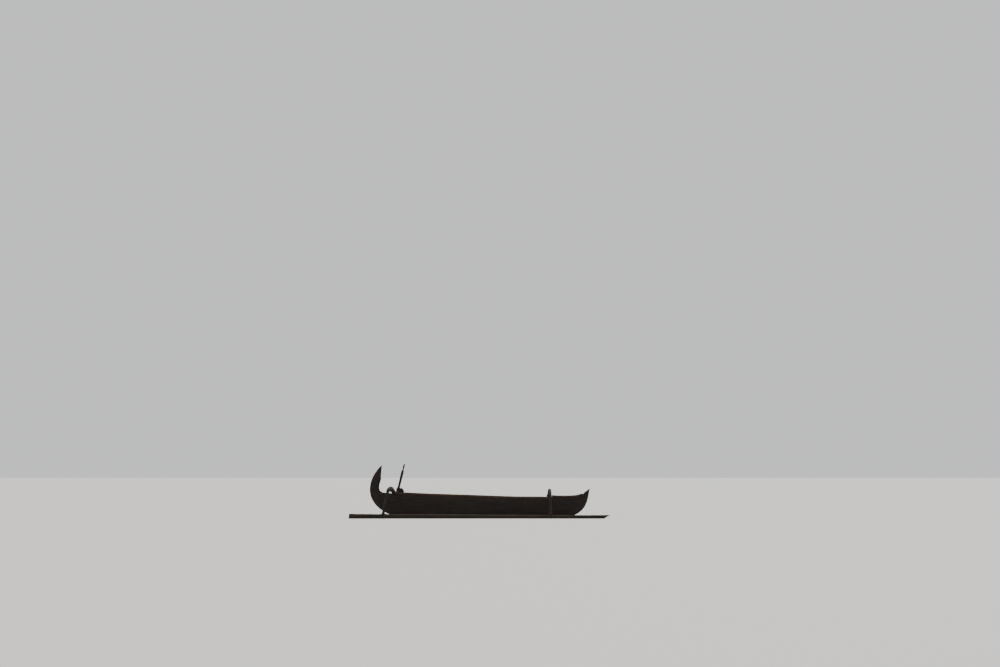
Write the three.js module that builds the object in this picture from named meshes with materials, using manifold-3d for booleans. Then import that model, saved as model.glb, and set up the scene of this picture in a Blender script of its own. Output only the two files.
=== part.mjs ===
// Outrigger canoe: a dugout log raised with sewn-on washstrakes, a tall crescent stern, a low upturned
// bow, two arched booms to a single float on the starboard side and a steering oar on the port quarter.
// Millimetres, Z up, X forward to the bow, Y to port; the origin is amidships on the still waterline.
import * as THREE from 'three';
import { mergeVertices } from 'three/addons/utils/BufferGeometryUtils.js';
import Module from 'manifold-3d';

const wasm = await Module();
wasm.setup();

// Fits and thicknesses.
const fit = 0.3;
const stemHalf = 16;
const midX = -60;
const fullness = 2.6;
const strakeInset = 8;
const railOut = 10;
const railIn = 14;
const railDeep = 50;
const blockAft = -2350;
const blockFore = 2300;
const hollowSlope = 250;
const stations = 24;

// Hull skin: half-breadth amidships at each height.
const skinLevels = [
  { z: -150, half: 48 },
  { z: -146, half: 82 },
  { z: -138, half: 112 },
  { z: -122, half: 146 },
  { z: -95, half: 180 },
  { z: -55, half: 210 },
  { z: 0, half: 234 },
  { z: 75, half: 255 },
  { z: 160, half: 270 },
  { z: 270, half: 281 },
  { z: 400, half: 288 },
  { z: 560, half: 291 },
  { z: 760, half: 288 },
];

// Hollow of the hull: wall thickness at each height, from the floor up.
const hollowLevels = [
  { z: -105, wall: 72 },
  { z: -98, wall: 54 },
  { z: -80, wall: 40 },
  { z: -50, wall: 35 },
  { z: 0, wall: 33 },
  { z: 75, wall: 32 },
  { z: 160, wall: 31 },
  { z: 290, wall: 30 },
  { z: 400, wall: 29 },
  { z: 560, wall: 28 },
  { z: 760, wall: 28 },
];

// Profile curves of the two ends, X and Z, from the keel up.
const heel = [[-1156, -150], [-2320, -150], [-3017, 181], [-3006, 760]];
const forefoot = [[780, -150], [2944, -150], [2874, 163], [2996, 760]];

// Lines along the hull, X and Z.
const sheer = [
  [-2350, 634], [-2063, 656], [-1844, 644], [-1407, 625], [-751, 602],
  [-314, 589], [350, 565], [997, 543], [1639, 540], [1965, 533],
];
const seam = [[-3100, 500], [-2000, 458], [0, 414], [1500, 392], [2300, 402], [3100, 440]];
const sternTop = [[-3100, 645], [-2560, 645], [-2434, 632], [-2350, 634]];
const deckFoot = [[1965, 531], [2300, 531], [2700, 545]];
const deckTop = [[1965, 582], [2090, 573], [2254, 570], [2418, 570], [2582, 580], [2700, 598]];
const noseTop = [[2700, 598], [2759, 624], [2814, 614], [2866, 669], [2990, 759], [3100, 759]];

const paint = {
  hull: { color: 0x1d130e, roughness: 0.72 },
  strake: { color: 0x241610, roughness: 0.7 },
  rail: { color: 0x4b2a16, roughness: 0.6 },
  inside: { color: 0x56391f, roughness: 0.8 },
  boom: { color: 0x342117, roughness: 0.7 },
  float: { color: 0x4d3a24, roughness: 0.75 },
  oar: { color: 0x49301d, roughness: 0.65 },
  cord: { color: 0x77613f, roughness: 0.95 },
};

const group = new THREE.Group();
group.name = 'outrigger_canoe';

function toSolid(geometry) {
  const bare = new THREE.BufferGeometry();
  bare.setAttribute('position', geometry.getAttribute('position').clone());
  if (geometry.index) {
    bare.setIndex(geometry.index.clone());
  }
  const welded = mergeVertices(bare, 1e-3);
  return new wasm.Manifold(new wasm.Mesh({
    numProp: 3,
    vertProperties: new Float32Array(welded.getAttribute('position').array),
    triVerts: new Uint32Array(welded.index.array),
  }));
}

function add(name, solid, finish) {
  const mesh = solid.getMesh();
  const geometry = new THREE.BufferGeometry();
  geometry.setAttribute('position', new THREE.BufferAttribute(new Float32Array(mesh.vertProperties), 3));
  geometry.setIndex(new THREE.BufferAttribute(new Uint32Array(mesh.triVerts), 1));
  geometry.computeVertexNormals();
  const material = new THREE.MeshStandardMaterial({
    color: finish.color,
    roughness: finish.roughness,
    metalness: 0,
  });
  const part = new THREE.Mesh(geometry, material);
  part.name = name;
  group.add(part);
}

// A closed solid through rings of equal count, capped at both ends.
function skin(rings) {
  const n = rings[0].length;
  const points = rings.flat();
  const last = (rings.length - 1) * n;
  const faces = [];
  for (let i = 0; i < rings.length - 1; i++) {
    for (let j = 0; j < n; j++) {
      const a = i * n + j;
      const b = i * n + (j + 1) % n;
      faces.push(a, b, b + n, a, b + n, a + n);
    }
  }
  for (let j = 1; j < n - 1; j++) {
    faces.push(0, j + 1, j);
    faces.push(last, last + j, last + j + 1);
  }
  let volume = 0;
  for (let i = 0; i < faces.length; i += 3) {
    const [p, q, r] = [points[faces[i]], points[faces[i + 1]], points[faces[i + 2]]];
    volume += p.dot(new THREE.Vector3().crossVectors(q, r));
  }
  const geometry = new THREE.BufferGeometry().setFromPoints(points);
  geometry.setIndex(volume < 0 ? faces.reverse() : faces);
  return toSolid(geometry);
}

// A flat-sided solid over an outline in X and Z, between two values of Y.
function prism(outline, yFrom, yTo) {
  const shape = new THREE.Shape(outline.map(([x, z]) => new THREE.Vector2(x, z)));
  const geometry = new THREE.ExtrudeGeometry(shape, { depth: yTo - yFrom, bevelEnabled: false });
  geometry.rotateX(Math.PI / 2);
  geometry.translate(0, yTo, 0);
  return toSolid(geometry);
}

function box(x0, x1, y0, y1, z0, z1) {
  const geometry = new THREE.BoxGeometry(x1 - x0, y1 - y0, z1 - z0);
  geometry.translate((x0 + x1) / 2, (y0 + y1) / 2, (z0 + z1) / 2);
  return toSolid(geometry);
}

const under = (line, drop) => prism(
  [[line[0][0], -400], ...line.map(([x, z]) => [x, z - drop]), [line.at(-1)[0], -400]], -600, 600);
const over = (line, rise) => prism(
  [[line[0][0], 1700], ...line.map(([x, z]) => [x, z + rise]), [line.at(-1)[0], 1700]], -600, 600);

function lineAt(line, x) {
  const k = Math.max(1, Math.min(line.length - 1, line.findIndex(([px]) => px >= x)));
  const [[x0, z0], [x1, z1]] = [line[k - 1], line[k]];
  return z0 + (z1 - z0) * (x - x0) / (x1 - x0);
}

function bezier(curve, t) {
  const w = [(1 - t) ** 3, 3 * (1 - t) ** 2 * t, 3 * (1 - t) * t ** 2, t ** 3];
  return [0, 1].map((axis) => curve.reduce((sum, p, i) => sum + p[axis] * w[i], 0));
}

// X of an end profile at a height.
function endX(curve, z) {
  let [low, high] = [0, 1];
  for (let i = 0; i < 40; i++) {
    const mid = (low + high) / 2;
    if (bezier(curve, mid)[1] < z) {
      low = mid;
    } else {
      high = mid;
    }
  }
  return bezier(curve, low)[0];
}

function halfAt(z) {
  return lineAt(skinLevels.map((level) => [level.z, level.half]), z);
}

function levelRing(z, x0, x1, breadth) {
  const side = [];
  for (let i = 0; i <= stations; i++) {
    const x = x0 + (x1 - x0) * i / stations;
    side.push([x, breadth(x)]);
  }
  const port = side.map(([x, y]) => new THREE.Vector3(x, y, z));
  const starboard = side.map(([x, y]) => new THREE.Vector3(x, -y, z)).reverse();
  return [...port, ...starboard];
}

function skinBreadth(z) {
  const half = halfAt(z);
  const [aft, fore] = [endX(heel, z), endX(forefoot, z)];
  return (x) => {
    const s = Math.abs((x - midX) / ((x < midX ? aft : fore) - midX));
    return stemHalf + (half - stemHalf) * (1 - s ** fullness);
  };
}

// The hull's outer form, drawn in by an inset.
function hullForm(inset) {
  return skin(skinLevels.map(({ z }) => {
    const breadth = skinBreadth(z);
    return levelRing(z, endX(heel, z), endX(forefoot, z), (x) => breadth(x) - inset);
  }));
}

// The room inside the hull, drawn in by an inset.
function hollowForm(inset) {
  return skin(hollowLevels.map(({ z, wall }) => {
    const half = halfAt(z);
    const breadth = skinBreadth(z);
    const share = (18 + wall + inset - stemHalf) / (half - stemHalf);
    const s = (1 - share) ** (1 / fullness);
    const rise = Math.min(1, (z + 105) / 395);
    const slope = hollowSlope * (1 - rise);
    const x0 = Math.max(blockAft + slope, midX + (endX(heel, z) - midX) * s);
    const x1 = Math.min(blockFore - slope, midX + (endX(forefoot, z) - midX) * s);
    return levelRing(z, x0, x1, (x) => breadth(x) - wall - inset);
  }));
}

const outer = hullForm(0);
const hollow = hollowForm(0);
const hollowFit = hollowForm(fit);

// A round bar through stations of its centre line, in one upright plane turned from the Y axis by a rake.
function bar(path, grow) {
  const curve = new THREE.CatmullRomCurve3(
    path.stations.map((p) => new THREE.Vector3(path.x + path.rake * p.y, p.y, p.z)));
  const across = new THREE.Vector3(1, -path.rake, 0).normalize();
  const steps = path.steps;
  const rings = [];
  for (let i = 0; i <= steps; i++) {
    const t = i / steps;
    const centre = curve.getPoint(t);
    const up = new THREE.Vector3().crossVectors(across, curve.getTangent(t)).normalize();
    const k = Math.min(path.stations.length - 2, Math.floor(t * (path.stations.length - 1)));
    const f = t * (path.stations.length - 1) - k;
    const [here, next] = [path.stations[k], path.stations[k + 1]];
    const radius = here.r * (1 - f) + next.r * f + grow;
    const deep = here.deep * (1 - f) + next.deep * f + grow;
    const ring = [];
    for (let j = 0; j < path.sides; j++) {
      const a = 2 * Math.PI * (j + 0.5) / path.sides;
      const point = centre.clone();
      point.addScaledVector(across, radius * Math.cos(a));
      point.addScaledVector(up, deep * Math.sin(a));
      ring.push(point);
    }
    rings.push(ring);
  }
  return skin(rings);
}

// Float: a hewn log, butt end aft, cut to a rising point forward.
const floatY = -1800;
const floatStations = [
  { x: -3369, r: 96, z: 30 },
  { x: -3200, r: 91, z: 27 },
  { x: -2486, r: 89, z: 25 },
  { x: -800, r: 83, z: 22 },
  { x: 900, r: 76, z: 18 },
  { x: 1875, r: 73, z: 17 },
  { x: 2700, r: 69, z: 20 },
  { x: 3394, r: 62, z: 31 },
];

function floatLog(grow) {
  return skin(floatStations.map(({ x, r, z }) => {
    const ring = [];
    for (let j = 0; j < 16; j++) {
      const a = 2 * Math.PI * (j + 0.5) / 16;
      const radius = (r + grow) / Math.cos(Math.PI / 16);
      ring.push(new THREE.Vector3(x, floatY + radius * Math.sin(a), z + radius * Math.cos(a)));
    }
    return ring;
  }));
}

const noseCut = prism([[3130, -70], [3241, 0], [3392, 92], [3514, 160], [3514, -70]], -2000, -1600);
add('float', floatLog(0).subtract(noseCut), paint.float);

// Booms: arched limbs laid across both rails. Each station has half a width and half a depth.
const booms = [
  {
    name: 'rear',
    x: -2254,
    rake: 0.129,
    steps: 44,
    sides: 12,
    stations: [
      { y: 185, z: 658, r: 31, deep: 31 },
      { y: 30, z: 648, r: 32, deep: 32 },
      { y: -140, z: 645, r: 33, deep: 34 },
      { y: -280, z: 638, r: 36, deep: 50 },
      { y: -400, z: 648, r: 39, deep: 66 },
      { y: -520, z: 678, r: 41, deep: 72 },
      { y: -640, z: 714, r: 42, deep: 73 },
      { y: -760, z: 742, r: 43, deep: 73 },
      { y: -900, z: 752, r: 43, deep: 71 },
      { y: -1050, z: 747, r: 42, deep: 61 },
      { y: -1180, z: 730, r: 40, deep: 52 },
      { y: -1280, z: 668, r: 38, deep: 44 },
      { y: -1450, z: 500, r: 35, deep: 36 },
      { y: -1640, z: 327, r: 31, deep: 31 },
      { y: -1760, z: 180, r: 28, deep: 28 },
      { y: -1800, z: 95, r: 28, deep: 28 },
    ],
  },
  {
    name: 'front',
    x: 1866,
    rake: 0,
    steps: 44,
    sides: 12,
    stations: [
      { y: 330, z: 566, r: 32, deep: 32 },
      { y: 120, z: 564, r: 34, deep: 34 },
      { y: -120, z: 564, r: 35, deep: 35 },
      { y: -290, z: 574, r: 38, deep: 41 },
      { y: -450, z: 612, r: 41, deep: 47 },
      { y: -620, z: 668, r: 44, deep: 51 },
      { y: -790, z: 703, r: 45, deep: 53 },
      { y: -960, z: 710, r: 45, deep: 54 },
      { y: -1120, z: 695, r: 43, deep: 51 },
      { y: -1260, z: 652, r: 38, deep: 42 },
      { y: -1400, z: 568, r: 35, deep: 36 },
      { y: -1530, z: 440, r: 32, deep: 32 },
      { y: -1660, z: 285, r: 30, deep: 30 },
      { y: -1765, z: 160, r: 29, deep: 29 },
      { y: -1800, z: 75, r: 29, deep: 29 },
    ],
  },
];
const boomCuts = booms.map((boom) => bar(boom, fit));

booms.forEach((boom) => {
  add(`boom_${boom.name}`, bar(boom, 0).subtract(floatLog(fit)), paint.boom);
});

// Hull: one hollowed log below the seam.
add('hull_log', outer.subtract(hollow).intersect(under(seam, 0)), paint.hull);

// Washstrakes and rails, one of each to a side.
const aboveSeam = over(seam, fit);
const sides = [
  { name: 'port', y0: 0, y1: 600 },
  { name: 'starboard', y0: -600, y1: 0 },
];
const strakeRoom = hullForm(strakeInset).subtract(hollow).intersect(aboveSeam);
const railRoom = hullForm(-railOut).subtract(hollowForm(railIn)).intersect(under(sheer, 0));
const railFoot = sheer.map(([x, z]) => [x, z - railDeep]);
const strakeTop = [...railFoot, [1966, 531], [blockFore, 531]];

sides.forEach(({ name, y0, y1 }) => {
  const mid = box(blockAft + fit, blockFore - fit, y0, y1, 300, 700);
  const low = box(blockAft + fit, 1965 - fit, y0, y1, 300, 700);
  let strake = strakeRoom.intersect(mid).intersect(under(strakeTop, fit));
  let rail = railRoom.intersect(over(railFoot, 0)).intersect(low);
  boomCuts.forEach((cut) => {
    strake = strake.subtract(cut);
    rail = rail.subtract(cut);
  });
  add(`strake_${name}`, strake, paint.strake);
  add(`rail_${name}`, rail, paint.rail);
});

// End blocks, each a solid timber set on the log's end.
const sternBlock = outer.intersect(aboveSeam).intersect(under(sternTop, 0));
add('stern_block', sternBlock.intersect(box(-3200, blockAft, -400, 400, 300, 900)), paint.hull);
const bowTop = [...deckFoot.slice(1), [2700 + 2 * fit, 598], ...noseTop.slice(1)];
add('bow_block', outer.intersect(aboveSeam).intersect(under(bowTop, 0)), paint.hull);
const deckRoom = hullForm(-6).intersect(over(deckFoot, fit)).intersect(under(deckTop, 0));
add('bow_deck', deckRoom, paint.rail);

// Crescent of the stern: hexagonal sections between its outer and inner edges.
const hornOuter = new THREE.CurvePath();
const v2 = ([x, z]) => new THREE.Vector2(x, z);
hornOuter.add(new THREE.LineCurve(v2([-3004, 645 + fit]), v2([-3006, 740])));
hornOuter.add(new THREE.CubicBezierCurve(
  ...[[-3006, 740], [-3006, 946], [-2925, 1164], [-2690, 1398]].map(v2)));
const hornInner = new THREE.CurvePath();
hornInner.add(new THREE.CubicBezierCurve(
  ...[[-2560, 645 + fit], [-2915, 646], [-2658, 1022], [-2706, 1055]].map(v2)));
hornInner.add(new THREE.CubicBezierCurve(
  ...[[-2706, 1055], [-2706, 1158], [-2687, 1325], [-2683, 1390]].map(v2)));
const hornRings = [];
const hornSteps = 18;
for (let i = 0; i <= hornSteps; i++) {
  const a = hornOuter.getPointAt(i / hornSteps);
  const b = hornInner.getPointAt(i / hornSteps);
  const thick = Math.min(34, 3 + 0.14 * a.distanceTo(b));
  const edge = 0.45 * thick;
  const at = (f, y) => new THREE.Vector3(a.x + (b.x - a.x) * f, y, a.y + (b.y - a.y) * f);
  hornRings.push([at(0, edge), at(0.35, thick), at(0.7, thick), at(1, edge), at(1, -edge), at(0.7, -thick),
    at(0.35, -thick), at(0, -edge)]);
}
add('stern_crescent', skin(hornRings), paint.hull);

// Thwarts on frames, four of each.
const seats = [{ x: -1450 }, { x: -560 }, { x: 330 }, { x: 1180 }];
const seatWide = 150;
const seatThick = 24;
const seatDrop = 78;
const frameWide = 30;
const frameDeep = 38;
const frameLoft = box(-2500, 2500, -400, 400, -105 + frameDeep, 900);
const frameRoom = hollowFit.subtract(hollowForm(frameDeep).intersect(frameLoft));
seats.forEach(({ x }, i) => {
  const top = lineAt(sheer, x) - seatDrop;
  const seat = box(x - seatWide / 2, x + seatWide / 2, -400, 400, top - seatThick, top);
  add(`thwart_${i + 1}`, hollowFit.intersect(seat), paint.inside);
  const slab = box(x - frameWide / 2, x + frameWide / 2, -400, 400, -300, top - seatThick - fit);
  add(`frame_${i + 1}`, frameRoom.intersect(slab), paint.inside);
});

// Tie beams under the booms, let in between the strakes.
const tieHalf = 34;
const tieDeep = 52;
const lashThick = 12;
const lashWide = 110;
booms.forEach((boom) => {
  const turn = Math.atan(boom.rake);
  const top = lineAt(sheer, boom.x) - railDeep - fit;
  const beam = new THREE.BoxGeometry(2 * tieHalf, 900, tieDeep);
  beam.rotateZ(-turn);
  beam.translate(boom.x, 0, top - tieDeep / 2);
  const tieBeam = hollowFit.intersect(toSolid(beam)).intersect(under(railFoot, fit));
  add(`tie_beam_${boom.name}`, tieBeam, paint.inside);

  const centre = boom.stations[1].z;
  const loop = (grow) => {
    const half = Math.max(boom.stations[2].r, tieHalf) + fit + grow;
    const round = half / Math.cos(Math.PI / 24);
    const outline = [];
    for (let k = 0; k <= 12; k++) {
      const a = Math.PI * k / 12;
      outline.push([round * Math.cos(a), centre + round * Math.sin(a)]);
    }
    outline.push([-half, top - tieDeep - fit - grow], [half, top - tieDeep - fit - grow]);
    const solid = prism(outline, -lashWide / 2 - (grow ? 0 : 10), lashWide / 2 + (grow ? 0 : 10));
    return solid.rotate([0, 0, -turn * 180 / Math.PI]).translate([boom.x, 0, 0]);
  };
  add(`lashing_hull_${boom.name}`, loop(lashThick).subtract(loop(0)), paint.cord);
});

// Lashings that bind each boom's foot to the float.
booms.forEach((boom) => {
  const foot = boom.stations.at(-1);
  const x = boom.x + boom.rake * foot.y;
  const station = floatStations.find((s) => s.x >= x - 1);
  const band = new THREE.CylinderGeometry(station.r + 13, station.r + 13, 96, 20);
  band.rotateZ(Math.PI / 2);
  band.translate(x, floatY, station.z);
  const sleeve = new THREE.CylinderGeometry(foot.r + 11, foot.r + 11, 120, 14);
  sleeve.rotateX(Math.PI / 2);
  sleeve.translate(x, floatY, station.z + station.r + 20);
  const wrap = toSolid(band).add(toSolid(sleeve)).subtract(floatLog(fit)).subtract(bar(boom, fit));
  add(`lashing_float_${boom.name}`, wrap, paint.cord);
});

// Steering oar on the port quarter, in a notched crutch at the rear boom's inboard end.
const oarLean = 13.41 * Math.PI / 180;
const oarPivot = [-2254.5, 235, 710];
const oarRun = 1;
const placeOar = (geometry) => geometry.rotateY(oarLean).translate(...oarPivot);

const crutchOutline = [[-2283, 636], [-2283, 760], [-2135, 757], [-2110, 728], [-2096, 690], [-2096, 636]];
const shaftRadius = 31;
const collarLow = 63;
const collarHigh = 89;
const collarOut = 15;
const notch = new THREE.CylinderGeometry(shaftRadius + oarRun, shaftRadius + oarRun, 400, 24);
notch.rotateX(Math.PI / 2);
const notchMouth = new THREE.BoxGeometry(200, 2 * (shaftRadius + oarRun), 400);
notchMouth.translate(-100, 0, 0);
const crutch = prism(crutchOutline, 98, 284)
  .subtract(toSolid(placeOar(notch)))
  .subtract(toSolid(placeOar(notchMouth)))
  .subtract(boomCuts[0])
  .subtract(hullForm(-railOut - fit).intersect(under(sheer, -fit)));
add('oar_crutch', crutch, paint.inside);

// Shaft: radius at each distance along its axis from the crutch.
const shaftProfile = [
  { s: -1040, r: 19 },
  { s: -700, r: 26 },
  { s: -60, r: 31 },
  { s: 130, r: 31 },
  { s: 298, r: 34.5 },
  { s: 439, r: 36 },
  { s: 524, r: 34.5 },
  { s: 556, r: 28 },
  { s: 575, r: 17 },
  { s: 612, r: 16 },
  { s: 630, r: 21.5 },
  { s: 665, r: 22.5 },
  { s: 690, r: 23 },
  { s: 715, r: 20 },
  { s: 742, r: 10 },
];
const shaftSide = shaftProfile.map(({ s, r }) => new THREE.Vector2(r, s));
const lathePoints = [new THREE.Vector2(0, -1040), ...shaftSide, new THREE.Vector2(0, 752)];
const shaft = new THREE.LatheGeometry(lathePoints, 16);
shaft.rotateX(Math.PI / 2);
const bladeThick = 18;
const bladeSlot = new THREE.BoxGeometry(400, bladeThick + 2 * fit, 800);
bladeSlot.translate(0, 0, -700 + fit - 400);
add('oar_shaft', toSolid(placeOar(shaft)).subtract(toSolid(placeOar(bladeSlot))), paint.oar);

// Blade: half width at each distance along the axis.
const bladeStations = [
  { s: -700, half: 30 },
  { s: -770, half: 66 },
  { s: -900, half: 96 },
  { s: -1150, half: 105 },
  { s: -1330, half: 92 },
  { s: -1400, half: 62 },
  { s: -1422, half: 30 },
];
const blade = bladeStations.map(({ s, half }) => {
  const lip = 2.5;
  const face = bladeThick / 2;
  const points = [[half, lip], [0.6 * half, face], [-0.6 * half, face], [-half, lip],
    [-half, -lip], [-0.6 * half, -face], [0.6 * half, -face], [half, -lip]];
  return points.map(([x, y]) => {
    const point = new THREE.Vector3(x, y, s).applyAxisAngle(new THREE.Vector3(0, 1, 0), oarLean);
    return point.add(new THREE.Vector3(...oarPivot));
  });
});
add('oar_blade', skin(blade), paint.oar);

// Collar bound round the shaft, which bears on the crutch.
const collar = new THREE.LatheGeometry([
  new THREE.Vector2(shaftRadius + fit, collarLow),
  new THREE.Vector2(shaftRadius + collarOut, collarLow),
  new THREE.Vector2(shaftRadius + collarOut, collarHigh - 4),
  new THREE.Vector2(shaftRadius + collarOut - 6, collarHigh),
  new THREE.Vector2(shaftRadius + fit, collarHigh),
  new THREE.Vector2(shaftRadius + fit, collarLow),
], 16);
collar.rotateX(Math.PI / 2);
add('oar_collar', toSolid(placeOar(collar)), paint.cord);

export default group;
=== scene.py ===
# Looks of the outrigger canoe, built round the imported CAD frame.
# Metres; X forward, Y to port, Z up from the water.
import math

import bpy
import numpy as np
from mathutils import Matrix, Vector


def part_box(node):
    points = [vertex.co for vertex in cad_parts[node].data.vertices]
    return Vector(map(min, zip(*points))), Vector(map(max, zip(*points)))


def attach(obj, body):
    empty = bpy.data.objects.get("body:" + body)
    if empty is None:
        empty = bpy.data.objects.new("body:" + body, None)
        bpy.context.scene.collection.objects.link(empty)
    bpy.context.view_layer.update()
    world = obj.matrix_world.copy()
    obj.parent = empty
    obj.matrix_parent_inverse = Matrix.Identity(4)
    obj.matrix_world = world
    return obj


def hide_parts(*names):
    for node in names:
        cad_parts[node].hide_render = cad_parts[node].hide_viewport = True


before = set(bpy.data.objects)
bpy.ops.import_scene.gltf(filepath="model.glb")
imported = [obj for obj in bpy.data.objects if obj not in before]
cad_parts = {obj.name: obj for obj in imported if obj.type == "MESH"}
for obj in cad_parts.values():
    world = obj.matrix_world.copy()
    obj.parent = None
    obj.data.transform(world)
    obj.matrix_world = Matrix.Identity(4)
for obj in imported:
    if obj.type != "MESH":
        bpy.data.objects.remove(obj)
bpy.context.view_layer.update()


def put(name, data):
    obj = bpy.data.objects.new(name, data)
    bpy.context.scene.collection.objects.link(obj)
    return obj


# Camera, at the photograph's viewing angle
PHOTO_WIDTH_PX = 1000
FOCAL_PX = 1381.6
HORIZON_BELOW_CENTRE_PX = 144.1
SENSOR_MM = 36
EYE = (0.5464, -37.95, 1.057)

camera_data = bpy.data.cameras.new("camera")
camera_data.sensor_width = SENSOR_MM
camera_data.lens = SENSOR_MM * FOCAL_PX / PHOTO_WIDTH_PX
camera_data.clip_end = 20000
camera = put("camera", camera_data)
camera.location = EYE
camera.rotation_euler = (math.pi / 2 + math.atan(HORIZON_BELOW_CENTRE_PX / FOCAL_PX), 0, 0)
bpy.context.scene.camera = camera

# Numbers: noise, curves and meshes
CELL_SHIFT = 100  # Keeps the cell numbers above 0.
LINE_SAMPLES = 1600
LINE_SPREAD = 41
WEAR_FROM, WEAR_SPAN = 12, 90  # Bends, in 1/m, at which rubbing starts, and from there to full wear.


def lattice(i, seed):
    """A fixed value from 0 to 1 for each whole-numbered cell i."""
    n = i[..., 0] * 73856093 ^ i[..., 1] * 19349663 ^ i[..., 2] * 83492791 ^ seed * 265443576
    n = ((n ^ (n >> 13)) * 1274126177) & 0xFFFFFFFF
    n = ((n ^ (n >> 15)) * 668265263) & 0xFFFFFFFF
    return ((n ^ (n >> 16)) & 0xFFFF) / 65535


def cells(p, size):
    """Points p measured in cells, and the cells they lie in; size is one number or one to each axis."""
    q = np.asarray(p, float) / size + CELL_SHIFT
    return q, np.floor(q).astype(np.int64)


def eased(t):
    return t * t * (3 - 2 * t)


def rounded(t):
    """Rises as a quarter circle, from 0 at t 0 to 1 at t 1."""
    return np.sqrt(1 - (1 - t) ** 2)


def noise(p, size, seed=0):
    """Smooth value noise from -1 to 1 at points p."""
    q, i = cells(p, size)
    f = eased(q - i)
    total = 0
    for c in range(8):
        corner = np.array([c & 1, c >> 1 & 1, c >> 2 & 1])
        weight = np.prod(np.where(corner, f, 1 - f), axis=-1)
        total = total + weight * lattice(i + corner, seed)
    return 2 * total - 1


def scallops(p, size, seed):
    """Depth from 0 at the ridges to 1 in the middle of each hewn facet."""
    q, i = cells(p, size)
    best = np.full(q.shape[:-1], 9.0)
    for c in range(27):
        cell = i + np.array([c % 3 - 1, c // 3 % 3 - 1, c // 9 - 1])
        centre = cell + np.stack([lattice(cell, seed + k) for k in (1, 2, 3)], -1)
        best = np.minimum(best, ((q - centre) ** 2).sum(-1))
    return 1 - np.clip(best, 0, 1)


def smooth_line(points):
    """A dense, gently rounded reading of a polyline, as a function of its first number."""
    points = np.array(points, float)
    xs = np.linspace(points[0, 0], points[-1, 0], LINE_SAMPLES)
    ys = np.interp(xs, points[:, 0], points[:, 1])
    kernel = np.hanning(LINE_SPREAD + 2)[1:-1]
    reach = LINE_SPREAD // 2
    padded = np.concatenate([2 * ys[0] - ys[reach:0:-1], ys, 2 * ys[-1] - ys[-2:-reach - 2:-1]])
    soft = np.convolve(padded, kernel / kernel.sum(), "valid")
    return lambda x: np.interp(x, xs, soft)


def spline(points, count):
    """Points along a Catmull-Rom curve through the given ones."""
    p = np.array(points, float)
    p = np.vstack([2 * p[0] - p[1], p, 2 * p[-1] - p[-2]])
    t = np.linspace(0, len(points) - 1, count)
    k = np.minimum(t.astype(int), len(points) - 2)
    f = (t - k)[:, None]
    a, b, c, d = p[k], p[k + 1], p[k + 2], p[k + 3]
    bend, twist = 2 * a - 5 * b + 4 * c - d, 3 * b - 3 * c + d - a
    return 0.5 * (2 * b + (c - a) * f + bend * f ** 2 + twist * f ** 3)


def bezier(curve, t):
    w = np.stack([(1 - t) ** 3, 3 * (1 - t) ** 2 * t, 3 * (1 - t) * t ** 2, t ** 3], -1)
    return w @ np.array(curve, float)


def round_steps(count):
    """Even angles round a full turn."""
    return 2 * np.pi * np.arange(count) / count


def on_circle(radius, turn):
    return radius * np.stack([np.cos(turn), np.sin(turn)], -1)


def unit(vectors):
    return vectors / np.linalg.norm(vectors, axis=1)[:, None]


def distance(line):
    """How far along a line each of its points lies."""
    return np.concatenate([[0], np.cumsum(np.linalg.norm(np.diff(line, axis=0), axis=1))])


def mm(numbers):
    """Metres from millimetres, the CAD's unit."""
    return np.array(numbers) / 1000


def by_length(line, step):
    """The same line with evenly spaced points, and the distance along it at each."""
    line = np.array(line, float)
    run = distance(line)
    at = np.linspace(0, run[-1], max(4, int(run[-1] / step) + 1))
    return np.stack([np.interp(at, run, line[:, k]) for k in range(line.shape[1])], -1), at


def outward(points, quads):
    """Turns every face over if the solid is inside out."""
    p = points[quads]
    volume = np.einsum("ij,ij->", p[:, 0], np.cross(p[:, 1], p[:, 2]) + np.cross(p[:, 2], p[:, 3]))
    return quads[:, ::-1] if volume < 0 else quads


def skin(rings, grain=None, cap="fan"):
    """A closed solid through rings of equal count: points, quads and grain coordinates."""
    rings = np.array(rings, float)
    grain = rings if grain is None else np.array(grain, float)
    m, n = rings.shape[:2]
    points, grain = rings.reshape(-1, 3), grain.reshape(-1, 3)
    a = (np.arange(m - 1)[:, None] * n + np.arange(n)[None]).ravel()
    b = (np.arange(m - 1)[:, None] * n + (np.arange(n)[None] + 1) % n).ravel()
    quads = [np.stack([a, b, b + n, a + n], -1)]
    for first, flip in ((0, True), ((m - 1) * n, False)):
        if cap == "strip":
            j = np.arange(n // 2 - 1)
            added = np.stack([first + j, first + j + 1, first + n - 2 - j, first + n - 1 - j], -1)
        else:
            # The middle of the ring is joined to its points two edges at a time.
            j = np.arange(0, n, 2)
            middle = np.full(n // 2, len(points))
            added = np.stack([first + j, first + j + 1, first + (j + 2) % n, middle], -1)
            points = np.vstack([points, points[first:first + n].mean(0)])
            grain = np.vstack([grain, grain[first:first + n].mean(0)])
        quads.append(added[:, ::-1] if flip else added)
    return points, outward(points, np.vstack(quads)), grain


def box_section(wide, high, radius, step=0.006):
    """Points round a rectangle with rounded corners, centred on 0, 0; their count is even."""
    corners = [(1, 1, 0), (-1, 1, 90), (-1, -1, 180), (1, -1, 270)]
    arcs = []
    for sx, sy, start in corners:
        turn = np.radians(start + np.linspace(0, 90, 5))
        centre = np.array([sx * (wide / 2 - radius), sy * (high / 2 - radius)])
        arcs.append(centre + on_circle(radius, turn))
    section = []
    for k in range(4):
        here, there = arcs[k][-1], arcs[(k + 1) % 4][0]
        count = max(1, round(np.linalg.norm(there - here) / step))
        between = here + (there - here) * (np.arange(1, count) / count)[:, None]
        section += [arcs[k], between]
    section = np.vstack(section)
    return section if len(section) % 2 == 0 else np.vstack([section, (section[-1] + section[0]) / 2])


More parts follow.
